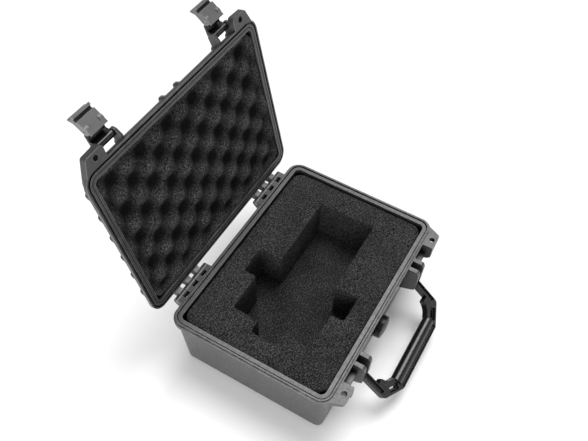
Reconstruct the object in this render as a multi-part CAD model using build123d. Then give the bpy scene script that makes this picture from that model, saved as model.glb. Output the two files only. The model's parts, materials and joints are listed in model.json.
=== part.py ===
"""Microphone case: foam-lined base, hinged lid, two draw latches, fold-down handle and valve.

Millimetres. X runs along the hinge line, -Y faces the handle and latches, +Z is up.
The origin is the centre of the underside. The lid stands open, as does each latch.
"""
from build123d import *
from math import atan, atan2, degrees
import os

# ---- Case envelope, over the rims ----
CASE_LENGTH = 270.0
CASE_DEPTH = 195.0
CORNER_RADIUS = 15.5
BASE_HEIGHT = 88.0
LID_HEIGHT = 16.0
PARTING_GAP = 0.4

# ---- Mouldings ----
WALL_INSET = 3.5            # outer wall stands this far inside the rim flange
FLANGE_HEIGHT = 9.0
LID_FLANGE_HEIGHT = 7.0
BASE_DRAFT = 4.0            # how far the outer wall leans in over the base's height
LID_DRAFT = 2.5
FLOOR_THICKNESS = 3.5
CEILING_THICKNESS = 2.4
BASE_RIM_WIDTH = 9.5
LID_RIM_WIDTH = 10.5
BOTTOM_EDGE_RADIUS = 5.0
TOP_EDGE_RADIUS = 5.0
RIB_WIDTH = 2.8
RIB_HEIGHT = 2.0
RIB_ROWS = (14.0, 41.8, 70.3)       # lid ribs that run across, distance from the centre line
MIDDLE_RIB_X = 11.5                 # pair of ribs at the middle of the lid's front and back

# ---- Rim sealing ----
LEDGE_WIDTH = 1.7
LEDGE_DROP = 0.8
TONGUE_INSET = 2.2
TONGUE_WIDTH = 1.6
TONGUE_HEIGHT = 1.2
DRAIN_WIDTH = 1.3
DRAIN_DEPTH = 1.2
TONGUE_CLEARANCE = 0.5
GASKET_INSET = 6.5
GASKET_WIDTH = 1.4
GASKET_HEIGHT = 2.0
SEAT_CLEARANCE = 0.1

# ---- Foam ----
FOAM_DROP = 3.5             # base foam's face below the rim
FOAM_CORNER = 14.0
FOAM_CLEARANCE = 0.4
PAD_THICKNESS = 25.0
LID_FOAM_DROP = 0.3         # egg-crate peaks above the lid's rim
CRATE_CELL = (20.8, 19.2)   # raised and sunk cells in turn, like a draughtboard
CRATE_SHIFT = 5.7           # middle row of cells off the centre line
CRATE_DEPTH = 9.0           # from a peak to the bottom of a hollow
CRATE_LAND = 1.2            # flat left between the cells
CRATE_SLANT = 58.0          # degrees that a cell's sides lean in
POCKET_STEPS = ((-98.6, -82.6, 15.5), (-82.6, -35.6, 48.0), (-35.6, -2.6, 64.0), (-2.6, 94.4, 35.0))

# ---- Hinges ----
HINGE_OUT = 7.0             # axis beyond the back rim
HINGE_DROP = 5.0            # axis below the rim plane
HINGE_FROM_END = 54.0       # middle of a hinge from the case's end
HINGE_WIDTH = 57.0
KNUCKLES = 7
KNUCKLE_RADIUS = 4.5
KNUCKLE_GAP = 0.4
HINGE_PIN_RADIUS = 1.6
HINGE_ROOT = 17.0           # foot of the base's hinge webs below the axis
HINGE_NECK = 14.0           # height over the axis where a lid arm bends in
LID_OPENING = 102.0

# ---- Running and seated fits ----
RUNNING_CLEARANCE = 0.06
PIN_SEAT_CLEARANCE = 0.02
SIDE_CLEARANCE = 0.4

# ---- Front webs, latches and padlock ears ----
WEB_THICKNESS = 4.6         # webs on the base
EAR_WEB_THICKNESS = 3.0     # ears on the lid that carry a latch
LATCH_FROM_END = 45.7       # middle of a latch from the case's end
LATCH_GAP = 22.6            # between the webs that guard a latch
WEB_OUT = 14.0
WEB_TOP_DROP = 1.5          # top of the webs below the rim
WEB_ROOT = 7.0              # how far the webs run in from the rim's outer edge
WEB_BEVEL = (2.0, 5.0)
WEB_EDGE_RADIUS = 3.0
CLEVIS_FOOT = (7.0, 10.0, 17.0)     # heights below the handle's axis
GUARD_FOOT = (18.0, 22.0, 28.0)     # heights below the ledge
EAR_CROWN = 4.0             # top of the lid's ears above the link's axis
EAR_NOSE = 4.6              # front of the lid's ears before the link's axis
LINK_AXIS_OUT = 5.0
LINK_AXIS_RISE = 12.0
LEVER_AXIS_OUT = 7.5
LEVER_AXIS_RISE = -4.5
LINK_BARREL_RADIUS = 3.5
LINK_PIN_RADIUS = 1.25
LEVER_PIN_RADIUS = 1.0
LEVER_KNUCKLE_RADIUS = 2.1
LINK_KNUCKLE_WIDTH = 12.0
LATCH_FACE_OUT = 12.0       # outer face of a closed latch
LEVER_BACK_OUT = 4.0        # inner face of a closed latch
LINK_PLATE = 2.4
LEVER_SKIN = 1.2
LEVER_TOE = 6.5
LEVER_REACH = 17.0
LEVER_LIP_OUT = 15.5
CATCH_DROP = 15.7
CATCH_THICKNESS = 2.4
CATCH_OUT = 6.7
CATCH_CLEARANCE = 0.4
LINK_TRAVEL = 98.0
LEVER_TRAVEL = 32.0
PADLOCK_FROM_END = 23.0
PADLOCK_OUT = 7.0
PADLOCK_RADIUS = 3.2
EAR_THICKNESS = 7.0
EAR_OUT = 13.5
EAR_TAPER = (10.0, 5.0, 12.0)       # corners of a padlock ear: past its hole, and in from the end

# ---- Handle ----
HANDLE_AXIS_OUT = 4.0
HANDLE_AXIS_Z = 60.0
HANDLE_DROOP = 40.0
HANDLE_THICKNESS = 8.0
HANDLE_CHAMFER = 0.8
HANDLE_REACH = 64.0
LEG_WIDTH = 8.0
CORNER_DEPTH = 17.0         # where a bevelled corner starts, back from the front edge
CORNER_WIDTH = 27.6
GRIP_RADIUS = 7.0
GRIP_SET_BACK = 12.5        # the grip's axis behind the front edge
BAND_WIDTH = 5.5
BAND_THICKNESS = 5.0
LIP_WIDTH = 1.4
CORE_THICKNESS = 4.0
CORE_MARGIN = 3.4
POCKET_WALL = 1.6           # left round the recesses in the handle's faces
POCKET_DEPTH = 2.0
GUSSET_DEPTH = 14.4
GUSSET_STEP = 7.2
WINDOW_SET_BACK = 19.0      # front of the hand's window behind the front edge
HANDLE_PIN_RADIUS = 2.0
LEG_EYE_RADIUS = 6.0
CORNER_SLOT = (10.0, 3.0)

# ---- Pressure valve ----
VALVE_Z = 45.0
VALVE_RADIUS = 14.0
VALVE_BOSS_RADIUS = 15.5
VALVE_BOSS_OUT = -3.5
VALVE_CUP_LENGTH = 6.7
VALVE_CUP_WALL = 1.5
VALVE_STEM_RADIUS = 6.9
VALVE_BORE_RADIUS = 4.6
VALVE_LIP_RADIUS = 3.6
VALVE_DOME = 2.0
VALVE_NUT_RADIUS = 11.0
VALVE_NUT_THICKNESS = 2.2
SEAL_RADIUS = 11.5
SEAL_THICKNESS = 1.0
MEMBRANE_THICKNESS = 0.6
MEMBRANE_LEDGE = 2.0

# ---- Name plate ----
PLATE_LENGTH = 75.0
PLATE_WIDTH = 45.2
PLATE_THICKNESS = 0.8
PLATE_CORNER = 5.0
FRAME_WIDTH = 2.0
FRAME_HEIGHT = 1.2

# ---- Places that follow from the sizes ----
FRONT = -CASE_DEPTH / 2
BACK = CASE_DEPTH / 2
LID_RIM = BASE_HEIGHT + PARTING_GAP
LID_TOP = LID_RIM + LID_HEIGHT
LID_PANEL = LID_TOP - RIB_HEIGHT
LID_CEILING = LID_PANEL - CEILING_THICKNESS
LEDGE_Z = BASE_HEIGHT - LEDGE_DROP
HINGE_CENTRE = CASE_LENGTH / 2 - HINGE_FROM_END
HINGE_Y = BACK + HINGE_OUT
HINGE_Z = BASE_HEIGHT - HINGE_DROP
LINK_AXIS = (FRONT - LINK_AXIS_OUT, BASE_HEIGHT + LINK_AXIS_RISE)
LEVER_AXIS = (FRONT - LEVER_AXIS_OUT, BASE_HEIGHT + LEVER_AXIS_RISE)
HANDLE_AXIS = (FRONT - HANDLE_AXIS_OUT, HANDLE_AXIS_Z)
LATCH_CENTRE = CASE_LENGTH / 2 - LATCH_FROM_END
LATCH_WIDTH = LATCH_GAP - 2 * SIDE_CLEARANCE
PADLOCK_X = CASE_LENGTH / 2 - PADLOCK_FROM_END
EAR_OFFSET = (LATCH_GAP + EAR_WEB_THICKNESS) / 2
GUARD_CENTRE = LATCH_CENTRE + (LATCH_GAP + WEB_THICKNESS) / 2
CLEVIS_OUTER = LATCH_CENTRE - (LATCH_GAP + WEB_THICKNESS) / 2
LEG_OUTER = CLEVIS_OUTER - WEB_THICKNESS / 2 - SIDE_CLEARANCE
CLEVIS_INNER = LEG_OUTER - LEG_WIDTH - SIDE_CLEARANCE - WEB_THICKNESS / 2
GRIP_HALF = LEG_OUTER - CORNER_WIDTH
GRIP_AXIS = HANDLE_REACH - GRIP_SET_BACK
CORNER_START = HANDLE_REACH - CORNER_DEPTH
WINDOW_REACH = HANDLE_REACH - WINDOW_SET_BACK
GUSSET_START = WINDOW_REACH - GUSSET_DEPTH
FLANGE_LOW = BASE_HEIGHT - FLANGE_HEIGHT
FLANGE_TOP = LID_RIM + LID_FLANGE_HEIGHT
SIDES = {"left": -1, "right": 1}


def outline(inset, z, corner=None):
    """Rounded rectangle that stands `inset` inside the rims' outer edge, at height z."""
    radius = CORNER_RADIUS - inset if corner is None else corner
    return Pos(0, 0, z) * RectangleRounded(CASE_LENGTH - 2 * inset, CASE_DEPTH - 2 * inset, radius)


def tapered(face, z, rise, slant):
    """Block on a face that mirrors about X, narrowing from z over `rise` (down where negative)."""
    block = extrude(face, amount=abs(rise), taper=slant)
    return Pos(0, 0, z) * (block if rise > 0 else Rot(180, 0, 0) * block)


def drafted(inset, z, rise, lean):
    """Block from the outline at z, over `rise`, leaning in by `lean`."""
    return tapered(outline(inset, 0), z, rise, degrees(atan(lean / abs(rise))))


def rim_ring(outer_inset, width, z, height):
    """Band of the given width round the rim."""
    return extrude(outline(outer_inset, z) - outline(outer_inset + width, z), amount=height)


def front_points(points):
    """(y, z) points from (out from the front rim, z) points."""
    return [(FRONT - out, z) for out, z in points]


def back_points(points):
    """(y, z) points from (out from the back rim, z) points."""
    return [(BACK + out, z) for out, z in points]


def side_profile(points, x, thickness, radius=0.0, rounded=()):
    """Plate centred on x whose outline is given as (y, z) points; listed corners are rounded."""
    face = make_face(Polyline(*points, close=True))
    if radius:
        corners = [Vector(*points[i]) for i in rounded]
        near = [v for v in face.vertices() if min((Vector(v) - c).length for c in corners) < 0.01]
        face = fillet(near, radius)
    return extrude(Plane.YZ.offset(x) * face, amount=thickness / 2, both=True)


def x_rod(y, z, radius, x_from, x_to):
    """Round bar along X between two stations."""
    middle = (x_from + x_to) / 2
    return Pos(middle, y, z) * Rot(0, 90, 0) * Cylinder(radius, abs(x_to - x_from))


def x_block(out, z, out_to, z_to, x_from, x_to):
    """Box given by its reach out from the front rim, its heights and its stations."""
    size = (abs(x_to - x_from), abs(out_to - out), abs(z_to - z))
    centre = ((x_from + x_to) / 2, FRONT - (out + out_to) / 2, (z + z_to) / 2)
    return Pos(*centre) * Box(*size)


def turned(part, axis, angle):
    """The part turned about the X-parallel axis through (y, z)."""
    y, z = axis
    return Pos(0, y, z) * Rot(angle, 0, 0) * Pos(0, -y, -z) * part


def opened(part):
    """A piece of the closed lid, swung to where the lid stands open."""
    return turned(part, (HINGE_Y, HINGE_Z), -LID_OPENING)


# ---- Base ----
def base_tub():
    """Drafted tub with its flange, open at the top."""
    wall = drafted(WALL_INSET, FLANGE_LOW, -FLANGE_LOW, BASE_DRAFT)
    wall = fillet(wall.edges().group_by(Axis.Z)[0], BOTTOM_EDGE_RADIUS)
    skirt = drafted(0, FLANGE_LOW + WALL_INSET, -WALL_INSET, WALL_INSET)
    flange = extrude(outline(0, FLANGE_LOW + WALL_INSET), amount=FLANGE_HEIGHT - WALL_INSET)
    cavity = extrude(outline(BASE_RIM_WIDTH, FLOOR_THICKNESS), amount=BASE_HEIGHT - FLOOR_THICKNESS)
    return wall + skirt + flange - cavity


def base_rim(tub):
    """The tub with its outer ledge, sealing tongue and drain groove."""
    ledge = rim_ring(0, LEDGE_WIDTH, LEDGE_Z, LEDGE_DROP)
    tongue = rim_ring(TONGUE_INSET, TONGUE_WIDTH, BASE_HEIGHT, TONGUE_HEIGHT)
    drain = rim_ring(TONGUE_INSET + TONGUE_WIDTH, DRAIN_WIDTH, BASE_HEIGHT - DRAIN_DEPTH, DRAIN_DEPTH)
    return tub - ledge - drain + tongue


def padlock_ear(side, z, height):
    """Flat ear beyond a front corner, with the hole for a padlock's shackle."""
    inner = LATCH_CENTRE + LATCH_GAP / 2
    half = CASE_LENGTH / 2
    past_hole, in_from_end, root = EAR_TAPER
    corners = [(inner, FRONT + WALL_INSET), (inner, FRONT - EAR_OUT),
               (PADLOCK_X + past_hole, FRONT - EAR_OUT + 1),
               (half - in_from_end, FRONT + 1.1 * in_from_end), (half - root, FRONT + 2 * WALL_INSET)]
    face = make_face(Polyline(*[(side * x, y) for x, y in corners], close=True))
    outer = face.vertices().sort_by(Axis.Y)[:2]
    face = fillet(outer, WALL_INSET)
    hole = Pos(side * PADLOCK_X, FRONT - PADLOCK_OUT) * Circle(PADLOCK_RADIUS)
    return extrude(Pos(0, 0, z) * (face - hole), amount=height)


def base_webs(side):
    """Handle clevis walls, latch guards and the catch that the latch hooks under."""
    top = BASE_HEIGHT - WEB_TOP_DROP
    across, down = WEB_BEVEL
    front, toe, foot = (HANDLE_AXIS_Z - drop for drop in CLEVIS_FOOT)
    tall = front_points([(-WEB_ROOT, top), (WEB_OUT - across, top), (WEB_OUT, top - down), (WEB_OUT, front),
                         (WEB_OUT - 2 * across, toe), (-WEB_ROOT, foot)])
    front, toe, foot = (LEDGE_Z - drop for drop in GUARD_FOOT)
    guard_out = WEB_OUT - across / 2
    short = front_points([(-WEB_ROOT, LEDGE_Z), (guard_out, LEDGE_Z), (guard_out, front),
                          (guard_out - 2 * across, toe), (-WEB_ROOT, foot)])
    webs = side_profile(tall, side * CLEVIS_INNER, WEB_THICKNESS, WEB_EDGE_RADIUS, (1, 2, 3, 4))
    webs += side_profile(tall, side * CLEVIS_OUTER, WEB_THICKNESS, WEB_EDGE_RADIUS, (1, 2, 3, 4))
    webs += side_profile(short, side * GUARD_CENTRE, WEB_THICKNESS, WEB_EDGE_RADIUS, (2, 3))
    shelf_top = BASE_HEIGHT - CATCH_DROP + CATCH_THICKNESS / 2
    shelf = x_block(-WEB_ROOT, shelf_top - CATCH_THICKNESS, CATCH_OUT, shelf_top,
                    side * CLEVIS_OUTER, side * GUARD_CENTRE)
    return webs + fillet(shelf.edges().filter_by(Axis.X).group_by(Axis.Y)[0], 0.8)


def base_knuckles(side):
    """Every second hinge knuckle, webbed down to the back wall."""
    part = Part()
    for x in knuckle_stations(side, 0):
        web = [(-WEB_ROOT, LEDGE_Z), (0, LEDGE_Z), (HINGE_OUT, HINGE_Z + KNUCKLE_RADIUS - 0.3),
               (HINGE_OUT + 0.7 * KNUCKLE_RADIUS, HINGE_Z - 0.7 * KNUCKLE_RADIUS),
               (-WALL_INSET, HINGE_Z - HINGE_ROOT), (-WEB_ROOT, HINGE_Z - HINGE_ROOT)]
        part += side_profile(back_points(web), x, knuckle_width())
        part += knuckle_barrel(x)
    return part


def knuckle_width():
    return HINGE_WIDTH / KNUCKLES - KNUCKLE_GAP


def knuckle_stations(side, first):
    """Centres of every second knuckle, from the given one."""
    pitch = HINGE_WIDTH / KNUCKLES
    start = HINGE_CENTRE - HINGE_WIDTH / 2 + pitch / 2
    return [side * (start + pitch * i) for i in range(first, KNUCKLES, 2)]


def knuckle_barrel(x):
    return x_rod(HINGE_Y, HINGE_Z, KNUCKLE_RADIUS, x - knuckle_width() / 2, x + knuckle_width() / 2)


def hinge_bore(side, clearance):
    reach = HINGE_WIDTH / 2 + 1
    return x_rod(HINGE_Y, HINGE_Z, HINGE_PIN_RADIUS + clearance,
                 side * HINGE_CENTRE - reach, side * HINGE_CENTRE + reach)


def valve_frame(y):
    """Plane at depth y on the valve's axis, facing out of the front wall."""
    return Plane(origin=(0, y, VALVE_Z), x_dir=(1, 0, 0), z_dir=(0, -1, 0))


def valve_seat_y():
    return FRONT - VALVE_BOSS_OUT


def nut_seat_y():
    """Bottom of the recess behind the wall that holds the valve's nut."""
    return FRONT + BASE_RIM_WIDTH - VALVE_NUT_THICKNESS - SEAT_CLEARANCE


def base_shell():
    """The whole lower moulding."""
    shell = base_tub()
    boss = extrude(valve_frame(valve_seat_y()) * Circle(VALVE_BOSS_RADIUS), amount=-4)
    shell = base_rim(shell + boss)
    for side in SIDES.values():
        shell += padlock_ear(side, LEDGE_Z - EAR_THICKNESS, EAR_THICKNESS)
        shell += base_webs(side) + base_knuckles(side)
        shell -= hinge_bore(side, PIN_SEAT_CLEARANCE)
        shell -= x_rod(*HANDLE_AXIS, HANDLE_PIN_RADIUS + PIN_SEAT_CLEARANCE, *handle_pin_span(side))
    stem_hole = extrude(valve_frame(valve_seat_y()) * Circle(VALVE_STEM_RADIUS + SEAT_CLEARANCE), amount=-20)
    recess = extrude(valve_frame(nut_seat_y()) * Circle(VALVE_NUT_RADIUS + 0.5), amount=-20)
    return shell - stem_hole - recess


# ---- Foam ----
def foam_block(low, high):
    """Slice of the block that fills the base's cavity."""
    return extrude(outline(BASE_RIM_WIDTH + FOAM_CLEARANCE, low, FOAM_CORNER), amount=high - low)


def pocket_sketch():
    """Stepped cut-out that follows the microphone and its stand mount."""
    sketch = Sketch()
    for x_from, x_to, half in POCKET_STEPS:
        sketch += Pos((x_from + x_to) / 2, 0) * Rectangle(x_to - x_from, 2 * half)
    return sketch


def base_foam_pad():
    return foam_block(FLOOR_THICKNESS, FLOOR_THICKNESS + PAD_THICKNESS)


def base_foam():
    low = FLOOR_THICKNESS + PAD_THICKNESS
    high = BASE_HEIGHT - FOAM_DROP
    return foam_block(low, high) - extrude(Pos(0, 0, low) * pocket_sketch(), amount=high - low)


def crate_cells(first, z, way):
    """Every second cell of the egg-crate pattern, a frustum that rises or sinks from z."""
    across, along = CRATE_CELL
    foot = Rectangle(across - CRATE_LAND, along - CRATE_LAND)
    cell = tapered(foot, z, way * CRATE_DEPTH / 2, CRATE_SLANT)
    columns = round(CASE_LENGTH / 2 / across)
    rows = round(CASE_DEPTH / 2 / along)
    return [Pos(i * across, CRATE_SHIFT + j * along) * cell for i in range(-columns, columns + 1)
            for j in range(-rows, rows + 1) if (i + j) % 2 == first]


def lid_foam():
    """Egg-crate foam: peaks and hollows in turn over its face, and a flat back."""
    low = LID_RIM + LID_FOAM_DROP
    middle = low + CRATE_DEPTH / 2
    block = extrude(outline(LID_RIM_WIDTH + FOAM_CLEARANCE, low, FOAM_CORNER), amount=LID_CEILING - low)
    slab = extrude(Pos(0, 0, middle) * Rectangle(CASE_LENGTH, CASE_DEPTH), amount=LID_CEILING - middle)
    return block & (slab + crate_cells(0, middle, -1) - crate_cells(1, middle, 1))


# ---- Lid, built closed ----
def lid_body(grow):
    """Outer form of the lid above its flange, grown evenly to where its ribs reach."""
    low = FLANGE_TOP - WALL_INSET
    rise = LID_PANEL + grow - low
    body = drafted(WALL_INSET - grow, low, rise, LID_DRAFT)
    return fillet(body.edges().group_by(Axis.Z)[-1], TOP_EDGE_RADIUS)


def rib_slabs():
    """Slabs that cut the ribs out of the grown form."""
    slabs = Part()
    tall = 3 * LID_HEIGHT
    for side in (-1, 1):
        for x in (LATCH_CENTRE - EAR_OFFSET, LATCH_CENTRE + EAR_OFFSET):
            slabs += Pos(side * x, 0, LID_TOP) * Box(RIB_WIDTH, CASE_DEPTH, tall)
        for y in RIB_ROWS[1:]:
            slabs += Pos(0, side * y, LID_TOP) * Box(CASE_LENGTH, RIB_WIDTH, tall)
        column = CASE_LENGTH / 2 - LATCH_CENTRE + EAR_OFFSET
        for end in (-1, 1):
            middle = end * (CASE_LENGTH - column) / 2
            slabs += Pos(middle, side * RIB_ROWS[0], LID_TOP) * Box(column, RIB_WIDTH, tall)
            band = CASE_DEPTH / 2 - RIB_ROWS[1]
            middle = side * (CASE_DEPTH - band) / 2
            slabs += Pos(end * MIDDLE_RIB_X, middle, LID_TOP) * Box(RIB_WIDTH, band, tall)
    return slabs


def lid_ears(side):
    """Pair of webs that carry a latch's link, running up into the lid's ribs."""
    axis_z = LINK_AXIS[1]
    nose = LINK_AXIS_OUT + EAR_NOSE
    foot = LID_RIM + RIB_WIDTH
    points = [(-WEB_ROOT, foot), (LINK_AXIS_OUT - 1.5, foot), (nose, axis_z - LINK_BARREL_RADIUS),
              (nose, axis_z + LINK_PIN_RADIUS), (LINK_AXIS_OUT + 1, axis_z + EAR_CROWN),
              (-WEB_ROOT, LID_PANEL - RIB_HEIGHT / 2)]
    part = Part()
    for x in (LATCH_CENTRE - EAR_OFFSET, LATCH_CENTRE + EAR_OFFSET):
        part += side_profile(front_points(points), side * x, EAR_WEB_THICKNESS, LINK_PIN_RADIUS, (1, 2, 3, 4))
    return part


def lid_knuckles(side):
    """The other hinge knuckles, on arms that reach over the parting line."""
    arm_top = LID_PANEL - TOP_EDGE_RADIUS / 2
    points = [(-WEB_ROOT, LID_RIM + 1), (0, LID_RIM + 0.8), (HINGE_OUT - KNUCKLE_RADIUS + 0.3, HINGE_Z + 1),
              (HINGE_OUT, HINGE_Z), (HINGE_OUT + KNUCKLE_RADIUS - 0.1, HINGE_Z + 1),
              (HINGE_OUT + 1, HINGE_Z + HINGE_NECK), (-WALL_INSET, arm_top), (-WEB_ROOT, arm_top)]
    part = Part()
    for x in knuckle_stations(side, 1):
        part += side_profile(back_points(points), x, knuckle_width()) + knuckle_barrel(x)
    return part


def plate_frame():
    """Raised border round the bare name plate's seat."""
    outer = RectangleRounded(PLATE_LENGTH + 2 * FRAME_WIDTH, PLATE_WIDTH + 2 * FRAME_WIDTH,
                             PLATE_CORNER + FRAME_WIDTH)
    seat = RectangleRounded(PLATE_LENGTH, PLATE_WIDTH, PLATE_CORNER)
    return extrude(Pos(0, 0, LID_PANEL) * (outer - seat), amount=FRAME_HEIGHT)


def lid_shell():
    """The whole upper moulding, closed."""
    flange = extrude(outline(0, LID_RIM), amount=LID_FLANGE_HEIGHT - WALL_INSET)
    skirt = drafted(0, FLANGE_TOP - WALL_INSET, WALL_INSET, WALL_INSET)
    ribs = lid_body(RIB_HEIGHT) & rib_slabs()
    cavity = extrude(outline(LID_RIM_WIDTH, LID_RIM), amount=LID_CEILING - LID_RIM)
    shell = lid_body(0) + flange + skirt + ribs + plate_frame()
    for side in SIDES.values():
        shell += padlock_ear(side, LID_RIM, EAR_THICKNESS) + lid_ears(side) + lid_knuckles(side)
        shell -= hinge_bore(side, RUNNING_CLEARANCE)
        shell -= x_rod(*LINK_AXIS, LINK_PIN_RADIUS + PIN_SEAT_CLEARANCE, *latch_span(side, link_pin_reach()))
    tongue_groove = rim_ring(TONGUE_INSET - TONGUE_CLEARANCE, TONGUE_WIDTH + 2 * TONGUE_CLEARANCE,
                             LID_RIM, TONGUE_HEIGHT + TONGUE_CLEARANCE)
    gasket_groove = rim_ring(GASKET_INSET - SEAT_CLEARANCE, GASKET_WIDTH + 2 * SEAT_CLEARANCE,
                             LID_RIM, GASKET_HEIGHT)
    return shell - cavity - tongue_groove - gasket_groove


def lid_gasket():
    return rim_ring(GASKET_INSET, GASKET_WIDTH, LID_RIM - SEAT_CLEARANCE, GASKET_HEIGHT)


def name_plate():
    seat = RectangleRounded(PLATE_LENGTH - 2 * SEAT_CLEARANCE, PLATE_WIDTH - 2 * SEAT_CLEARANCE, PLATE_CORNER)
    return extrude(Pos(0, 0, LID_PANEL) * seat, amount=PLATE_THICKNESS)


# ---- Latches, built closed ----
def latch_span(side, half):
    return side * LATCH_CENTRE - half, side * LATCH_CENTRE + half


def latch_link(side):
    """Link that hangs from the lid's ears and carries the lever's pivot."""
    low, high = latch_span(side, LATCH_WIDTH / 2)
    nose = LATCH_FACE_OUT - LEVER_AXIS_OUT
    plate_in = LATCH_FACE_OUT - LINK_PLATE
    link_z = LINK_AXIS[1]
    lever_z = LEVER_AXIS[1]
    barrel = x_rod(*LINK_AXIS, LINK_BARREL_RADIUS, low, high)
    plate = [(plate_in, lever_z + nose), (LATCH_FACE_OUT, lever_z + nose), (LATCH_FACE_OUT, link_z - 1),
             (LINK_AXIS_OUT + 3, link_z + LINK_BARREL_RADIUS), (LINK_AXIS_OUT, link_z + LINK_BARREL_RADIUS),
             (LINK_AXIS_OUT, link_z - LINK_BARREL_RADIUS), (plate_in, link_z - LINK_BARREL_RADIUS - 2)]
    link = side_profile(front_points(plate), side * LATCH_CENTRE, LATCH_WIDTH, 1.2, (2, 3)) + barrel
    tongue = [(LEVER_AXIS_OUT - 0.5, lever_z + 0.5), (LEVER_AXIS_OUT + 0.5, lever_z - 1),
              (LATCH_FACE_OUT - 1, lever_z - 1), (LATCH_FACE_OUT, lever_z),
              (LATCH_FACE_OUT, lever_z + nose + 1), (plate_in, lever_z + nose + 1)]
    link += side_profile(front_points(tongue), side * LATCH_CENTRE, LINK_KNUCKLE_WIDTH)
    link += x_rod(*LEVER_AXIS, LEVER_KNUCKLE_RADIUS, *latch_span(side, LINK_KNUCKLE_WIDTH / 2))
    relief = x_rod(*LEVER_AXIS, nose + SIDE_CLEARANCE, low - 1, high + 1)
    relief -= x_rod(*LEVER_AXIS, nose + 1, *latch_span(side, LINK_KNUCKLE_WIDTH / 2))
    link -= relief
    link -= x_rod(*LINK_AXIS, LINK_PIN_RADIUS + RUNNING_CLEARANCE, low - 1, high + 1)
    return link - x_rod(*LEVER_AXIS, LEVER_PIN_RADIUS + RUNNING_CLEARANCE, low - 1, high + 1)


def latch_lever(side):
    """Pull lever: pivot cheeks, prying toe, hook groove and finger lip."""
    low, high = latch_span(side, LATCH_WIDTH / 2)
    nose = LATCH_FACE_OUT - LEVER_AXIS_OUT
    pivot_z = LEVER_AXIS[1]
    end_z = pivot_z - LEVER_REACH
    body = [(LEVER_BACK_OUT, pivot_z + LEVER_TOE), (LEVER_BACK_OUT + LEVER_SKIN, pivot_z + LEVER_TOE),
            (LEVER_BACK_OUT + LEVER_SKIN, pivot_z - nose), (LATCH_FACE_OUT, pivot_z - nose),
            (LATCH_FACE_OUT, end_z + 6), (LEVER_LIP_OUT, end_z), (LEVER_LIP_OUT - 2.5, end_z),
            (LATCH_FACE_OUT - 2.5, end_z + 3), (LEVER_BACK_OUT + 4, end_z + 1.5),
            (LEVER_BACK_OUT, end_z + 1.5)]
    lever = side_profile(front_points(body), side * LATCH_CENTRE, LATCH_WIDTH, 0.55, (5, 6))
    cheek = [(LEVER_BACK_OUT, pivot_z + nose), (LEVER_AXIS_OUT, pivot_z + nose), (LEVER_AXIS_OUT, pivot_z),
             (LATCH_FACE_OUT, pivot_z), (LATCH_FACE_OUT, pivot_z - nose - 1),
             (LEVER_BACK_OUT, pivot_z - nose - 1)]
    cheeks = side_profile(front_points(cheek), side * LATCH_CENTRE, LATCH_WIDTH)
    cheeks += x_rod(*LEVER_AXIS, nose, low, high)
    window = LINK_KNUCKLE_WIDTH / 2 + SIDE_CLEARANCE
    cheeks -= x_block(-5, pivot_z - nose - 5, LATCH_FACE_OUT + 5, pivot_z + nose + 5,
                      *latch_span(side, window))
    lever += cheeks
    catch_z = BASE_HEIGHT - CATCH_DROP
    half = CATCH_THICKNESS / 2 + CATCH_CLEARANCE
    groove = x_block(LEVER_BACK_OUT - 1, catch_z - half, CATCH_OUT + CATCH_CLEARANCE, catch_z + half,
                     low - 1, high + 1)
    lever -= x_rod(*LEVER_AXIS, nose + SIDE_CLEARANCE, *latch_span(side, window)) & x_block(
        LEVER_BACK_OUT + LEVER_SKIN, pivot_z - 2 * nose, 2 * LATCH_FACE_OUT, pivot_z + 2 * nose, low, high)
    return lever - groove - x_rod(*LEVER_AXIS, LEVER_PIN_RADIUS + PIN_SEAT_CLEARANCE, low - 1, high + 1)


def link_pin_reach():
    """Half the length of a link's pin, which ends just inside both ears."""
    return EAR_OFFSET + EAR_WEB_THICKNESS / 2 - SIDE_CLEARANCE


def link_pin(side):
    return x_rod(*LINK_AXIS, LINK_PIN_RADIUS, *latch_span(side, link_pin_reach()))


def lever_pin(side):
    return x_rod(*LEVER_AXIS, LEVER_PIN_RADIUS, *latch_span(side, LATCH_WIDTH / 2 - SIDE_CLEARANCE))


def link_at_rest(part):
    return opened(turned(part, LINK_AXIS, -LINK_TRAVEL))


def lever_at_rest(part):
    return link_at_rest(turned(part, LEVER_AXIS, -LEVER_TRAVEL))


# ---- Handle, built level and pointing forward from its own axis ----
def handle_at_rest(part):
    return Pos(0, *HANDLE_AXIS) * Rot(HANDLE_DROOP, 0, 0) * part


def handle_plan():
    """Outer plan of the handle, from its axis out to the grip, with bevelled corners."""
    outer = [(-LEG_OUTER, 0), (-LEG_OUTER, -CORNER_START), (-GRIP_HALF, -HANDLE_REACH),
             (GRIP_HALF, -HANDLE_REACH), (LEG_OUTER, -CORNER_START), (LEG_OUTER, 0)]
    plan = make_face(Polyline(*outer, close=True))
    return fillet([vertex for vertex in plan.vertices() if vertex.Y < -1], 7.0)


def handle_windows():
    """The hand's window and the slot through each bevelled corner."""
    leg_inner = LEG_OUTER - LEG_WIDTH
    windows = Rectangle(2 * leg_inner, 2 * GUSSET_START) + gusset_window(leg_inner - GUSSET_STEP)
    for side in SIDES.values():
        windows += corner_place(side) * SlotOverall(*CORNER_SLOT)
        windows += Pos(side * (GRIP_HALF + 1), -HANDLE_REACH) * Rectangle(2, 2.4)
    return windows


def corner_place(side):
    """Middle of a bevelled corner, lined up with its bevel."""
    bevel = degrees(atan2(HANDLE_REACH - CORNER_START, LEG_OUTER - GRIP_HALF))
    middle = (side * ((LEG_OUTER + GRIP_HALF) / 2 - 4.4), 5.6 - (CORNER_START + HANDLE_REACH) / 2)
    return Pos(*middle) * Rot(0, 0, side * bevel)


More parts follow.
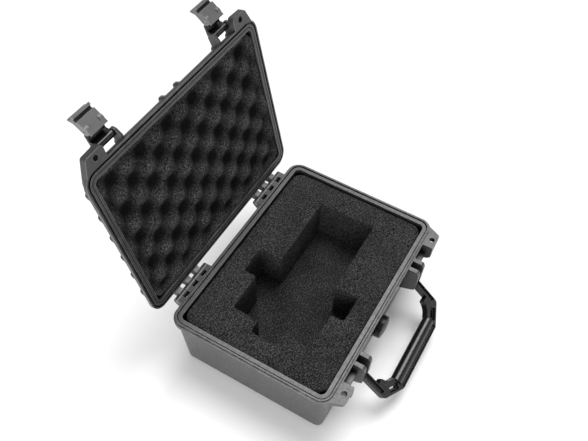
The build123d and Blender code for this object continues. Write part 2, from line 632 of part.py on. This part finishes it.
def face_recesses():
    """Hollows in the handle's faces: one along each leg and one in each corner."""
    leg = LEG_WIDTH - 2 * POCKET_WALL
    length = CORNER_START - 6 - LEG_EYE_RADIUS - 3
    recesses = Sketch()
    for side in SIDES.values():
        middle = (side * (LEG_OUTER - LEG_WIDTH / 2), -LEG_EYE_RADIUS - 3 - length / 2)
        recesses += Pos(*middle) * Rectangle(leg, length)
        recesses += corner_place(side) * Rectangle(CORNER_SLOT[0] + 5, CORNER_SLOT[1] + 5)
    return recesses


def gusset_window(half):
    """Forward part of the window, narrowing to the grip through two hollow curves."""
    near = -GUSSET_START + 1
    narrow = GRIP_HALF - 2.0
    edge = Line((-narrow, -WINDOW_REACH), (narrow, -WINDOW_REACH))
    right = RadiusArc((narrow, -WINDOW_REACH), (half, near), -18)
    back = Line((half, near), (-half, near))
    left = RadiusArc((-half, near), (-narrow, -WINDOW_REACH), -18)
    return make_face([edge, right, back, left])


def grip_bar():
    return Pos(0, -GRIP_AXIS, 0) * Rot(0, 90, 0) * Cylinder(GRIP_RADIUS, 2 * GRIP_HALF)


def grip_core():
    """What the grip is wrapped about: a flat core and the lipped band that frames it."""
    depth = HANDLE_REACH - BAND_WIDTH - GRIP_AXIS + GRIP_RADIUS - CORE_MARGIN
    core = Pos(0, BAND_WIDTH - HANDLE_REACH + depth / 2, 0) * Box(2 * GRIP_HALF, depth, CORE_THICKNESS)
    band = Pos(0, -HANDLE_REACH + BAND_WIDTH / 2, 0) * Box(2 * GRIP_HALF, BAND_WIDTH, BAND_THICKNESS)
    lip = Pos(0, -HANDLE_REACH + LIP_WIDTH / 2, 0) * Box(2 * GRIP_HALF, LIP_WIDTH, HANDLE_THICKNESS)
    return core + band + lip


def handle_frame():
    """Flat frame with hollowed faces, a core for the grip and round eyes on its legs."""
    half = HANDLE_THICKNESS / 2
    frame = extrude(handle_plan(), amount=half, both=True)
    frame = chamfer(frame.edges().group_by(Axis.Z)[-1] + frame.edges().group_by(Axis.Z)[0], HANDLE_CHAMFER)
    frame -= extrude(handle_windows(), amount=half, both=True)
    for face in (-1, 1):
        frame -= extrude(Pos(0, 0, face * half) * face_recesses(), amount=-face * POCKET_DEPTH)
    grip_depth = 2 * (HANDLE_REACH - WINDOW_REACH + 1)
    frame -= Pos(0, -HANDLE_REACH, 0) * Box(2 * GRIP_HALF, grip_depth, HANDLE_THICKNESS) - grip_core()
    for side in SIDES.values():
        frame += x_rod(0, 0, LEG_EYE_RADIUS, side * (LEG_OUTER - LEG_WIDTH), side * LEG_OUTER)
        frame -= x_rod(0, 0, HANDLE_PIN_RADIUS + RUNNING_CLEARANCE, side * CLEVIS_INNER, side * CLEVIS_OUTER)
    return frame


def handle_grip():
    """Round moulded grip that is wrapped about the frame's core."""
    return grip_bar() - grip_core()


def handle_pin_span(side):
    """Stations between which a handle pin sits in its two clevis walls."""
    inset = WEB_THICKNESS / 2 - SIDE_CLEARANCE
    return side * (CLEVIS_INNER - inset), side * (CLEVIS_OUTER + inset)


def handle_pin(side):
    return x_rod(*HANDLE_AXIS, HANDLE_PIN_RADIUS, *handle_pin_span(side))


# ---- Valve, turned about its own axis ----
def valve_turned(points):
    """Solid of revolution from (radius, distance out of the valve's seat) points."""
    section = make_face(Polyline(*[(radius, -out) for radius, out in points], close=True))
    return revolve(Pos(0, valve_seat_y(), VALVE_Z) * section, Axis((0, 0, VALVE_Z), (0, -1, 0)))


def valve_body():
    """Cup, stem and bore, stepped at its inner end to hold the vent membrane."""
    depth = stem_depth()
    cup_in = VALVE_RADIUS - VALVE_CUP_WALL
    floor = SEAL_THICKNESS + VALVE_CUP_WALL
    ledge = MEMBRANE_LEDGE - depth
    return valve_turned([(VALVE_LIP_RADIUS, -depth), (VALVE_STEM_RADIUS, -depth),
                         (VALVE_STEM_RADIUS, SEAL_THICKNESS), (VALVE_RADIUS, SEAL_THICKNESS),
                         (VALVE_RADIUS, VALVE_CUP_LENGTH), (cup_in, VALVE_CUP_LENGTH), (cup_in, floor),
                         (VALVE_BORE_RADIUS, floor), (VALVE_BORE_RADIUS, ledge), (VALVE_LIP_RADIUS, ledge)])


def stem_depth():
    """How far the valve's stem reaches in from its seat, to the nut's inner face."""
    return nut_seat_y() + VALVE_NUT_THICKNESS - valve_seat_y()


def valve_cap():
    """Domed cap whose skirt and stem turn inside the cup."""
    skirt_out = VALVE_RADIUS - VALVE_CUP_WALL - 0.3
    skirt_in = skirt_out - VALVE_CUP_WALL
    stem = VALVE_BORE_RADIUS - RUNNING_CLEARANCE
    face = VALVE_CUP_LENGTH + 0.3
    edge = VALVE_RADIUS - 0.4
    crown = face - 1.5
    dome = [(edge * share, face + 1 + VALVE_DOME * (1 - share ** 2)) for share in (1, 0.84, 0.62, 0.36)]
    return valve_turned([(0, 1), (stem, 1), (stem, crown), (skirt_in, crown), (skirt_in, 4),
                         (skirt_out, 4), (skirt_out, face), (edge, face), *dome, (0, dome[-1][1])])


def valve_seal():
    """Flat rubber ring between the valve and the wall's boss."""
    ring = Circle(SEAL_RADIUS) - Circle(VALVE_STEM_RADIUS + SEAT_CLEARANCE)
    return extrude(valve_frame(valve_seat_y()) * ring, amount=SEAL_THICKNESS)


def valve_nut():
    hexagon = RegularPolygon(VALVE_NUT_RADIUS, 6) - Circle(VALVE_STEM_RADIUS + PIN_SEAT_CLEARANCE)
    return extrude(valve_frame(nut_seat_y()) * hexagon, amount=-VALVE_NUT_THICKNESS)


def valve_membrane():
    disc = Circle(VALVE_BORE_RADIUS - SEAT_CLEARANCE)
    seat = valve_frame(valve_seat_y() + stem_depth() - MEMBRANE_LEDGE)
    return extrude(seat * disc, amount=MEMBRANE_THICKNESS)


def build_nodes():
    """Every piece of the case at rest, by the name of its node."""
    nodes = {
        "base_shell": base_shell(),
        "base_foam": base_foam(),
        "base_foam_pad": base_foam_pad(),
        "lid_shell": opened(lid_shell()),
        "lid_foam": opened(lid_foam()),
        "lid_gasket": opened(lid_gasket()),
        "name_plate": opened(name_plate()),
        "handle_frame": handle_at_rest(handle_frame()),
        "handle_grip": handle_at_rest(handle_grip()),
        "valve_body": valve_body(),
        "valve_cap": valve_cap(),
        "valve_seal": valve_seal(),
        "valve_nut": valve_nut(),
        "valve_membrane": valve_membrane(),
    }
    for name, side in SIDES.items():
        nodes["latch_link_" + name] = link_at_rest(latch_link(side))
        nodes["latch_lever_" + name] = lever_at_rest(latch_lever(side))
        nodes["link_pin_" + name] = opened(link_pin(side))
        nodes["lever_pin_" + name] = lever_at_rest(lever_pin(side))
        nodes["handle_pin_" + name] = handle_pin(side)
        nodes["hinge_pin_" + name] = hinge_pin(side)
    return nodes


def hinge_pin(side):
    reach = HINGE_WIDTH / 2 - SIDE_CLEARANCE
    return x_rod(HINGE_Y, HINGE_Z, HINGE_PIN_RADIUS, side * HINGE_CENTRE - reach, side * HINGE_CENTRE + reach)


os.makedirs("parts", exist_ok=True)
for node, solid in build_nodes().items():
    export_step(solid, "parts/" + node + ".step")
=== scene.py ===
"""Looks of the microphone case: materials, cut foam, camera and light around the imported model."""
import json
import math

import bmesh
import bpy
from mathutils import Matrix, Vector, noise


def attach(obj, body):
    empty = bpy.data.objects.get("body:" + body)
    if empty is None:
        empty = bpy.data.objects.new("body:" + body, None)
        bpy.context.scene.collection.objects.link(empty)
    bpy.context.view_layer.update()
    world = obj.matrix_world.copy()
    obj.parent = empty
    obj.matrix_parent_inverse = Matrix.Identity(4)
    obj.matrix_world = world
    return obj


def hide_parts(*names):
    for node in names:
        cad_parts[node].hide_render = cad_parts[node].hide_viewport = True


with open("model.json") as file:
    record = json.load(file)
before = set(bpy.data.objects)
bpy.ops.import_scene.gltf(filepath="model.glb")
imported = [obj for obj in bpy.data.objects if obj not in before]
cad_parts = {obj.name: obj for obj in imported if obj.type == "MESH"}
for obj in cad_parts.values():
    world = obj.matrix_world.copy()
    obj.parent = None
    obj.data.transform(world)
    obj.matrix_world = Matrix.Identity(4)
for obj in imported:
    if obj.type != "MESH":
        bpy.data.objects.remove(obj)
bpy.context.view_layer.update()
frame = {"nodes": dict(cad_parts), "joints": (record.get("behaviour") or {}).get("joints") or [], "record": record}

NODES = frame["nodes"]
MM = 0.001

# ---- Camera, at the photograph's angle ----
VIEW_AZIMUTH = -64.01
VIEW_ELEVATION = 56.717
VIEW_ROLL = 4.208
VIEW_DISTANCE = 0.71852
LOOK_AT = Vector((0, 0, 0.088))
LENS = 38.68
SENSOR_WIDTH = 36
SHIFT = (-0.0255, 0.0831)
CLIP_START = 0.01

# ---- Lid, which stands open at rest ----
HINGE = next(joint for joint in frame["joints"] if joint["child"] == "lid")
LID_TRAVEL = HINGE["range_deg"][1]

# ---- Shading. Noise and cells are counted per metre ----
NOISE_MIDDLE = (0.3, 0.7)       # the stretch of a noise that its whole effect is spread over
PLAIN_SPECULAR = 0.5
BEVEL_SAMPLES = 4
# The crease settings set where shade is painted into grooves and corners
CREASE_SAMPLES = 6
CREASE_OPEN = (0.35, 0.85)      # openness of a full crease, and of an open face
EDGE_AGREEMENT = (1.0, 0.86)    # how far rounded and flat normals agree, on a flat and on an edge

# ---- Plastics ----
# Painted shade in grooves and corners: how far the occlusion looks, the near-black colour painted there, and the
# specular level left there
CREASE_REACH = 9 * MM
CREASE_SHADE_COLOR = (0.003, 0.003, 0.003)
CREASE_SPECULAR = 0.05
EDGE_RADIUS = 0.6 * MM
BLOTCH_NOISE = 38
BLOTCH_SHADE = 0.82
# Noise that breaks up the edges' lighter colour, which is wear and painted highlight
RUB_HIGHLIGHT_NOISE = 120
RUB_HIGHLIGHT_MIDDLE = (0.35, 0.65)
RUB_HIGHLIGHT_LEAST = 0.25
GLOSS_NOISE = 300
GLOSS_SPAN = (-0.06, 0.08)
PIT_NOISE = 1500
PIT_DEPTH = 0.15 * MM

# ---- Steel, vent cloth and floor paint ----
STREAK_NOISE = 900
STREAK_ROUGHNESS = (0.24, 0.46)
BRUSH_NOISE = 2400
BRUSH_DEPTH = 0.05 * MM
FELT_NOISE = 3000
FELT_COLORS = ((0.5, 0.5, 0.48), (0.75, 0.75, 0.73))
NAP_NOISE = 3500
NAP_DEPTH = 0.1 * MM
PAINT_NOISE = 90
PAINT_DEPTH = 0.1 * MM

# ---- Foam's look ----
FOAM_ROUGHNESS = 0.95
FOAM_SPECULAR = 0.1
GRAIN_NOISE = 640
GRAIN_MIDDLE = (0.43, 0.60)
CLOUD_NOISE = 30
CLOUD_MIDDLE = (0.32, 0.68)
CLOUD_LEAST = 0.55
FLECK_CELLS = 480
FLECK_RADIUS = 0.27
HOLLOW_SHADE = 0.25
COARSE_NOISE = 520
COARSE_DEPTH = 1.0 * MM
FINE_CELLS = 900
FINE_DEPTH = 0.6 * MM

# ---- Foam's shape ----
FOAM_CORNER = 14 * MM
CRATE_PITCH = (20.8 * MM, 19.2 * MM)
CRATE_PEAK = (-104 * MM, 63.3 * MM)
CRATE_DEPTH = 9.0 * MM
CRATE_SHARPNESS = 1.1       # above 1 the hollows are narrower than the peaks
CRATE_CELL = 1.3 * MM
CRATE_HALF = (124.1 * MM, 86.6 * MM)
CRATE_EDGE = 9 * MM         # width of the border where the hollows run out
CRATE_EDGE_DEPTH = 0.2      # share of the hollows' depth that is left at the border
CRATE_SINK = 0.07           # share of the depth that the peaks stay back from the node's face
CRATE_FINE = (160, 0.035)   # noise and its share of the depth
CRATE_SLOW = (45, 0.05)
CRATE_SLOW_LAYER = 7        # keeps the slow noise apart from the fine one
CRATE_SIDE_STEPS = 10
FOAM_VOXEL = 1.6 * MM
CUT_SLOW_NOISE = 32
CUT_QUICK_NOISE = 260

# ---- Set ----
FLOOR_FLAT = 3.2
FLOOR_CURVE = 2.4
FLOOR_BEND = 85             # degrees that the floor turns up by
FLOOR_SIDES = 72
FLOOR_STEPS = 12
FLOOR_COLOR = (0.86, 0.86, 0.86)
WORLD_STRENGTH = 0.42
SUN_STRENGTH = 2.6
SUN_SPREAD = 38
SUN_SOURCE = (0.40, 0.06, 0.90)
LAMP_POWER = 15
LAMP_SIZE = 0.9
LAMP_PLACE = (-1.3, -0.3, 0.40)
LAMP_TARGET = (0, 0, 0.05)


# ---- Node helpers ----
class Shader:
    """A material under construction, with short calls to add and join its nodes."""

    def __init__(self, name, color, roughness, specular=PLAIN_SPECULAR):
        self.material = bpy.data.materials.new(name)
        self.material.use_nodes = True
        self.tree = self.material.node_tree
        self.surface = self.tree.nodes["Principled BSDF"]
        self.set("Base Color", (*color, 1))
        self.set("Roughness", roughness)
        self.set("Specular IOR Level", specular)
        self.place = self.node("ShaderNodeTexCoord").outputs["Object"]

    def set(self, socket, value):
        self.surface.inputs[socket].default_value = value

    def node(self, kind, **facts):
        made = self.tree.nodes.new(kind)
        for name, value in facts.items():
            setattr(made, name, value)
        return made

    def join(self, source, target):
        self.tree.links.new(source, target)

    def finish(self, socket, source):
        """Joins an output to a socket of the surface itself."""
        self.join(source, self.surface.inputs[socket])

    def noise(self, scale, detail=2.0, roughness=0.5):
        made = self.node("ShaderNodeTexNoise")
        made.inputs["Scale"].default_value = scale
        made.inputs["Detail"].default_value = detail
        made.inputs["Roughness"].default_value = roughness
        self.join(self.place, made.inputs["Vector"])
        return made.outputs["Fac"]

    def cells(self, scale):
        """Distance to the middle of the nearest cell."""
        made = self.node("ShaderNodeTexVoronoi")
        made.inputs["Scale"].default_value = scale
        self.join(self.place, made.inputs["Vector"])
        return made.outputs["Distance"]

    def spread(self, value, low, high, to_low, to_high):
        """Maps low to to_low and high to to_high."""
        made = self.node("ShaderNodeMapRange")
        names = ("From Min", "From Max", "To Min", "To Max")
        for name, number in zip(names, (low, high, to_low, to_high)):
            made.inputs[name].default_value = number
        self.join(value, made.inputs["Value"])
        return made.outputs["Result"]

    def mix(self, factor, first, second):
        """Colour between two colours or sockets."""
        made = self.node("ShaderNodeMix", data_type="RGBA")
        self.join(factor, made.inputs[0])
        for index, value in ((6, first), (7, second)):
            if isinstance(value, tuple):
                made.inputs[index].default_value = (*value, 1)
            else:
                self.join(value, made.inputs[index])
        return made.outputs[2]

    def bump(self, height, distance, strength, normal=None):
        made = self.node("ShaderNodeBump")
        made.inputs["Distance"].default_value = distance
        made.inputs["Strength"].default_value = strength
        self.join(height, made.inputs["Height"])
        if normal is not None:
            self.join(normal, made.inputs["Normal"])
        return made.outputs["Normal"]

    def rounded(self, radius):
        made = self.node("ShaderNodeBevel", samples=BEVEL_SAMPLES)
        made.inputs["Radius"].default_value = radius
        return made.outputs["Normal"]

    def crease_shade(self, reach):
        """Mask for painted shade: 1 down in grooves and corners narrower than the reach, and 0 on open faces."""
        made = self.node("ShaderNodeAmbientOcclusion", samples=CREASE_SAMPLES)
        made.inputs["Distance"].default_value = reach
        return self.spread(made.outputs["AO"], *CREASE_OPEN, 1.0, 0.0)

    def edges(self, rounded_normal):
        """1 along sharp edges and 0 on the flats between them."""
        flat = self.node("ShaderNodeNewGeometry").outputs["Normal"]
        dot = self.node("ShaderNodeVectorMath", operation="DOT_PRODUCT")
        self.join(rounded_normal, dot.inputs[0])
        self.join(flat, dot.inputs[1])
        return self.spread(dot.outputs["Value"], *EDGE_AGREEMENT, 0.0, 1.0)



# ---- Materials ----
def grained_plastic(name, color, roughness, grain, edge):
    """Moulded plastic: fine grain, slow blotches, edges made lighter as rubbed wear and painted highlight, and
    painted shade in grooves and corners.
    """
    shader = Shader(name, color, roughness)
    dark = tuple(BLOTCH_SHADE * part for part in color)
    worn_highlight_color = tuple(part + edge for part in color)
    blotch = shader.spread(shader.noise(BLOTCH_NOISE, 4), *NOISE_MIDDLE, 0.0, 1.0)
    rounded = shader.rounded(EDGE_RADIUS)
    rub_highlight_mask = shader.node("ShaderNodeMath", operation="MULTIPLY")
    shader.join(shader.edges(rounded), rub_highlight_mask.inputs[0])
    shader.join(shader.spread(shader.noise(RUB_HIGHLIGHT_NOISE, 3), *RUB_HIGHLIGHT_MIDDLE, RUB_HIGHLIGHT_LEAST, 1.0), rub_highlight_mask.inputs[1])
    crease_shade_mask = shader.crease_shade(CREASE_REACH)
    body = shader.mix(blotch, dark, color)
    # Edges lighter, as rubbed wear and painted highlight
    rub_highlit_body = shader.mix(rub_highlight_mask.outputs[0], body, worn_highlight_color)
    # Painted shade: grooves and corners turn near-black and lose most of their specular reflection
    shader.finish("Base Color", shader.mix(crease_shade_mask, rub_highlit_body, CREASE_SHADE_COLOR))
    shader.finish("Specular IOR Level", shader.spread(crease_shade_mask, 0, 1, PLAIN_SPECULAR, CREASE_SPECULAR))
    smooth, rough = (roughness + change for change in GLOSS_SPAN)
    shader.finish("Roughness", shader.spread(shader.noise(GLOSS_NOISE, 3), *NOISE_MIDDLE, smooth, rough))
    shader.finish("Normal", shader.bump(shader.noise(PIT_NOISE, 2), PIT_DEPTH, grain, rounded))
    return shader.material


def foam_material(name, low, high, speck, pits=(0.2, 0.95, 0.8)):
    """Open-cell foam: dark cells, pale cell walls that catch the light, a dull sheen, and painted shade down in
    hollows.

    pits holds where along the hollow's depth the painted shade begins and ends, and how deep it gets.
    """
    shader = Shader(name, high, FOAM_ROUGHNESS, FOAM_SPECULAR)
    grain = shader.spread(shader.noise(GRAIN_NOISE, 3, 0.8), *GRAIN_MIDDLE, 0.0, 1.0)
    cloud = shader.spread(shader.noise(CLOUD_NOISE, 4), *CLOUD_MIDDLE, CLOUD_LEAST, 1.0)
    body = shader.mix(grain, low, high)
    clouded = shader.mix(cloud, low, body)
    flecks = shader.spread(shader.cells(FLECK_CELLS), 0.0, FLECK_RADIUS, 1.0, 0.0)
    bright = shader.mix(flecks, clouded, speck)
    hollow = shader.node("ShaderNodeAttribute", attribute_name="hollow").outputs["Fac"]
    first, last, depth = pits
    # Painted shade: the deeper the hollow, the darker the colour
    shade = shader.spread(hollow, first, last, 0.0, depth)
    shader.finish("Base Color", shader.mix(shade, bright, tuple(HOLLOW_SHADE * part for part in low)))
    coarse = shader.bump(shader.noise(COARSE_NOISE, 3, 0.6), COARSE_DEPTH, 0.8)
    shader.finish("Normal", shader.bump(shader.cells(FINE_CELLS), FINE_DEPTH, 0.6, coarse))
    return shader.material


def steel_material(name):
    """Drawn steel with streaks of duller and brighter polish."""
    shader = Shader(name, (0.42, 0.42, 0.44), 0.32)
    shader.set("Metallic", 1.0)
    shader.finish("Roughness", shader.spread(shader.noise(STREAK_NOISE, 3), *NOISE_MIDDLE, *STREAK_ROUGHNESS))
    shader.finish("Normal", shader.bump(shader.noise(BRUSH_NOISE), BRUSH_DEPTH, 0.3))
    return shader.material


def membrane_material(name):
    """White vent cloth, a fine felt."""
    shader = Shader(name, (0.7, 0.7, 0.68), 0.85)
    felt = shader.spread(shader.noise(FELT_NOISE, 4), *NOISE_MIDDLE, 0.0, 1.0)
    shader.finish("Base Color", shader.mix(felt, *FELT_COLORS))
    shader.finish("Normal", shader.bump(shader.noise(NAP_NOISE, 3), NAP_DEPTH, 0.6))
    return shader.material


# name: colour, roughness, depth of the grain, and how much lighter the edges are, as wear and painted highlight
PLASTICS = {
    "shell_plastic": ((0.036, 0.036, 0.0366), 0.33, 0.3, 0.38),
    "trim_plastic": ((0.007, 0.007, 0.0075), 0.25, 0.08, 0.03),
    # Latches are black plastic: their grey colour is painted sheen
    "latch_plastic": ((0.115, 0.115, 0.117), 0.36, 0.15, 0.2),
    # The cap's own dark grey is darkened further here as painted shade on its front face
    "cap_plastic": ((0.028, 0.028, 0.0285), 0.38, 0.2, 0.2),
    "plate_plastic": ((0.045, 0.045, 0.046), 0.38, 0.1, 0.1),
    "grip_rubber": ((0.006, 0.006, 0.0065), 0.24, 0.08, 0.02),
    "seal_rubber": ((0.004, 0.004, 0.0045), 0.65, 0.3, 0.0),
}
FOAM_LOW = (0.004, 0.004, 0.004)
MATERIALS = {name: grained_plastic(name, *facts) for name, facts in PLASTICS.items()}
MATERIALS["foam"] = foam_material("foam", FOAM_LOW, (0.070, 0.070, 0.071), (0.19, 0.19, 0.19))
MATERIALS["crate_foam"] = foam_material("crate_foam", FOAM_LOW, (0.092, 0.092, 0.093), (0.22, 0.22, 0.22),
                                        pits=(0.1, 0.85, 0.93))
MATERIALS["membrane"] = membrane_material("membrane")
MATERIALS["pin_steel"] = steel_material("pin_steel")


def dress_nodes():
    """Gives every node of the frame the finish that its slot in the record asks for."""
    for entry in frame["record"]["subparts"]:
        mesh = NODES[entry["node"]].data
        mesh.materials.clear()
        mesh.materials.append(MATERIALS[entry["material_slot"]])


# ---- Foam pieces ----
def new_piece(name, mesh, body, replaced, material="foam"):
    """Object for a foam piece, riding its body in place of the node it stands for."""
    piece = bpy.data.objects.new(name, mesh)
    bpy.context.scene.collection.objects.link(piece)
    mesh.materials.clear()
    mesh.materials.append(MATERIALS[material])
    mesh.shade_smooth()
    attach(piece, body)
    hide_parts(replaced)
    return piece


def lid_swing(angle):
    """Turn of the lid about its hinge, in degrees from rest."""
    pivot = Vector(HINGE["pos_m"])
    turn = Matrix.Rotation(math.radians(angle), 4, "X")
    return Matrix.Translation(pivot) @ turn @ Matrix.Translation(-pivot)


def crate_depth(x, y):
    """How far the egg-crate face lies below its peaks."""
    across = math.cos(math.pi * (x - CRATE_PEAK[0]) / CRATE_PITCH[0])
    along = math.cos(math.pi * (y - CRATE_PEAK[1]) / CRATE_PITCH[1])
    hollow = (0.5 - 0.5 * across * along) ** CRATE_SHARPNESS
    fine = noise.noise(Vector((x, y, 0)) * CRATE_FINE[0]) * CRATE_FINE[1]
    slow = noise.noise(Vector((x, y, CRATE_SLOW_LAYER)) * CRATE_SLOW[0]) * CRATE_SLOW[1]
    inside = min(1.0, min(CRATE_HALF[0] - abs(x), CRATE_HALF[1] - abs(y)) / CRATE_EDGE)
    share = CRATE_EDGE_DEPTH + (1 - CRATE_EDGE_DEPTH) * inside
    return CRATE_DEPTH * (hollow * share + CRATE_SINK + (fine + slow))


def rounded_half_width(y, half_x, half_y, corner):
    """Half the width of a rounded rectangle at y."""
    over = abs(y) - (half_y - corner)
    if over <= 0:
        return half_x
    return half_x - corner + math.sqrt(max(0.0, corner ** 2 - over ** 2))


def crate_rows(half_x, half_y):
    """Rows of (x, y) points that fill the foam's rounded outline."""
    count_y = round(2 * half_y / CRATE_CELL)
    count_x = round(2 * half_x / CRATE_CELL)
    rows = []
    for j in range(count_y + 1):
        y = -half_y + 2 * half_y * j / count_y
        half = rounded_half_width(y, half_x, half_y, FOAM_CORNER)
        rows.append([(-half + 2 * half * i / count_x, y) for i in range(count_x + 1)])
    return rows


def crate_form(rows, face_z, back_z):
    """Closed form with a waved face, plain sides and a flat back."""
    form = bmesh.new()
    face = [[form.verts.new((x, y, face_z + crate_depth(x, y))) for x, y in row] for row in rows]
    for near, far in zip(face, face[1:]):
        for i in range(len(near) - 1):
            form.faces.new((near[i], far[i], far[i + 1], near[i + 1]))
    rim = face[0] + [row[-1] for row in face[1:-1]] + face[-1][::-1] + [row[0] for row in face[-2:0:-1]]
    loops = [rim]
    for step in range(1, CRATE_SIDE_STEPS + 1):
        share = step / CRATE_SIDE_STEPS
        loops.append([form.verts.new((v.co.x, v.co.y, v.co.z + (back_z - v.co.z) * share)) for v in rim])
    for upper, lower in zip(loops, loops[1:]):
        for i in range(len(rim)):
            k = (i + 1) % len(rim)
            form.faces.new((upper[i], upper[k], lower[k], lower[i]))
    form.faces.new(loops[-1])
    bmesh.ops.recalc_face_normals(form, faces=form.faces)
    return form


def lid_foam():
    """Egg-crate foam in the lid, shaped with the lid shut and then swung open with it."""
    closed = lid_swing(LID_TRAVEL)
    corners = [closed @ vertex.co for vertex in NODES["lid_foam"].data.vertices]
    low = Vector([min(corner[i] for corner in corners) for i in range(3)])
    high = Vector([max(corner[i] for corner in corners) for i in range(3)])
    form = crate_form(crate_rows((high.x - low.x) / 2, (high.y - low.y) / 2), low.z, high.z)
    mesh = bpy.data.meshes.new("lid_foam_crate")
    form.to_mesh(mesh)
    form.free()
    # Depth share of each point, from which the foam's material paints shade into the hollows
    hollow = mesh.attributes.new("hollow", "FLOAT", "POINT")
    hollow.data.foreach_set("value", [(vertex.co.z - low.z) / CRATE_DEPTH for vertex in mesh.vertices])
    mesh.transform(closed.inverted())
    return new_piece("lid_foam_crate", mesh, "lid", "lid_foam", "crate_foam")


def cut_foam(name, node, wave, rough):
    """Foam sheet cut by hand: the node's form, softened, with wavering faces and edges."""
    source = bpy.data.objects.new(name + "_form", NODES[node].data.copy())
    bpy.context.scene.collection.objects.link(source)
    remesh = source.modifiers.new("even", "REMESH")
    remesh.mode = "VOXEL"
    remesh.voxel_size = FOAM_VOXEL
    evaluated = source.evaluated_get(bpy.context.evaluated_depsgraph_get())
    mesh = bpy.data.meshes.new_from_object(evaluated)
    mesh.name = name
    bpy.data.objects.remove(source)
    normals = [vertex.normal.copy() for vertex in mesh.vertices]
    for vertex, normal in zip(mesh.vertices, normals):
        slow = 0.5 + 0.5 * noise.noise(vertex.co * CUT_SLOW_NOISE)
        quick = 0.5 + 0.5 * noise.noise(vertex.co * CUT_QUICK_NOISE)
        vertex.co -= normal * (wave * slow + rough * quick)
    return new_piece(name, mesh, "base", node)


# ---- Floor, light and camera ----
def add_floor():
    """Plain floor that curves up into a wall all round."""
    points = []
    for step in range(FLOOR_STEPS + 1):
        bend = math.radians(FLOOR_BEND) * step / FLOOR_STEPS
        reach = FLOOR_FLAT + FLOOR_CURVE * math.sin(bend)
        rise = FLOOR_CURVE * (1 - math.cos(bend))
        for side in range(FLOOR_SIDES):
            turn = math.tau * side / FLOOR_SIDES
            points.append((reach * math.cos(turn), reach * math.sin(turn), rise))
    faces = [tuple(range(FLOOR_SIDES))]
    for low in range(0, FLOOR_STEPS * FLOOR_SIDES, FLOOR_SIDES):
        for side in range(FLOOR_SIDES):
            following = (side + 1) % FLOOR_SIDES
            high = low + FLOOR_SIDES
            faces.append((low + side, high + side, high + following, low + following))
    mesh = bpy.data.meshes.new("floor")
    mesh.from_pydata(points, [], faces)
    mesh.polygons.foreach_set("use_smooth", [True] * len(faces))
    floor = bpy.data.objects.new("floor", mesh)
    bpy.context.scene.collection.objects.link(floor)
    shader = Shader("floor_paint", FLOOR_COLOR, 0.7, specular=0.2)
    shader.finish("Normal", shader.bump(shader.noise(PAINT_NOISE, 3), PAINT_DEPTH, 0.05))
    mesh.materials.append(shader.material)


def add_lamp():
    """Soft disc of light, low on the camera's side of the case."""
    data = bpy.data.lights.new("left", "AREA")
    data.energy = LAMP_POWER
    data.shape = "DISK"
    data.size = LAMP_SIZE
    lamp = bpy.data.objects.new("left", data)
    bpy.context.scene.collection.objects.link(lamp)
    lamp.location = LAMP_PLACE
    aim = Vector(LAMP_TARGET) - Vector(LAMP_PLACE)
    lamp.rotation_euler = aim.to_track_quat("-Z", "Y").to_euler()


def add_sun():
    """Broad overhead light that falls evenly on the whole floor."""
    data = bpy.data.lights.new("overhead", "SUN")
    data.energy = SUN_STRENGTH
    data.angle = math.radians(SUN_SPREAD)
    lamp = bpy.data.objects.new("overhead", data)
    bpy.context.scene.collection.objects.link(lamp)
    lamp.rotation_euler = Vector(SUN_SOURCE).to_track_quat("Z", "Y").to_euler()


def add_world():
    """Even white light from all round."""
    world = bpy.data.worlds.new("studio")
    world.use_nodes = True
    sky = world.node_tree.nodes["Background"]
    sky.inputs["Color"].default_value = (1, 1, 1, 1)
    sky.inputs["Strength"].default_value = WORLD_STRENGTH
    bpy.context.scene.world = world


def add_camera():
    """Camera turned about the point it looks at, then rolled."""
    angles = (VIEW_AZIMUTH, VIEW_ELEVATION, VIEW_ROLL)
    azimuth, elevation, roll = (math.radians(angle) for angle in angles)
    back = Vector((math.sin(azimuth) * math.cos(elevation), -math.cos(azimuth) * math.cos(elevation),
                   math.sin(elevation)))
    level = Vector((math.cos(azimuth), math.sin(azimuth), 0))
    upright = back.cross(level)
    right = level * math.cos(roll) + upright * math.sin(roll)
    up = upright * math.cos(roll) - level * math.sin(roll)
    data = bpy.data.cameras.new("camera")
    data.lens = LENS
    data.sensor_width = SENSOR_WIDTH
    data.shift_x, data.shift_y = SHIFT
    data.clip_start = CLIP_START
    camera = bpy.data.objects.new("camera", data)
    turn = Matrix((right, up, back)).transposed().to_4x4()
    camera.matrix_world = Matrix.Translation(LOOK_AT + back * VIEW_DISTANCE) @ turn
    bpy.context.scene.collection.objects.link(camera)
    bpy.context.scene.camera = camera


add_camera()
dress_nodes()
lid_foam()
cut_foam("base_foam_cut", "base_foam", wave=0.5 * MM, rough=0.35 * MM)
cut_foam("base_foam_sheet", "base_foam_pad", wave=0.3 * MM, rough=0.3 * MM)
add_floor()
add_world()
add_sun()
add_lamp()
bpy.context.scene.view_settings.view_transform = "Standard"
bpy.context.scene.render.film_transparent = False
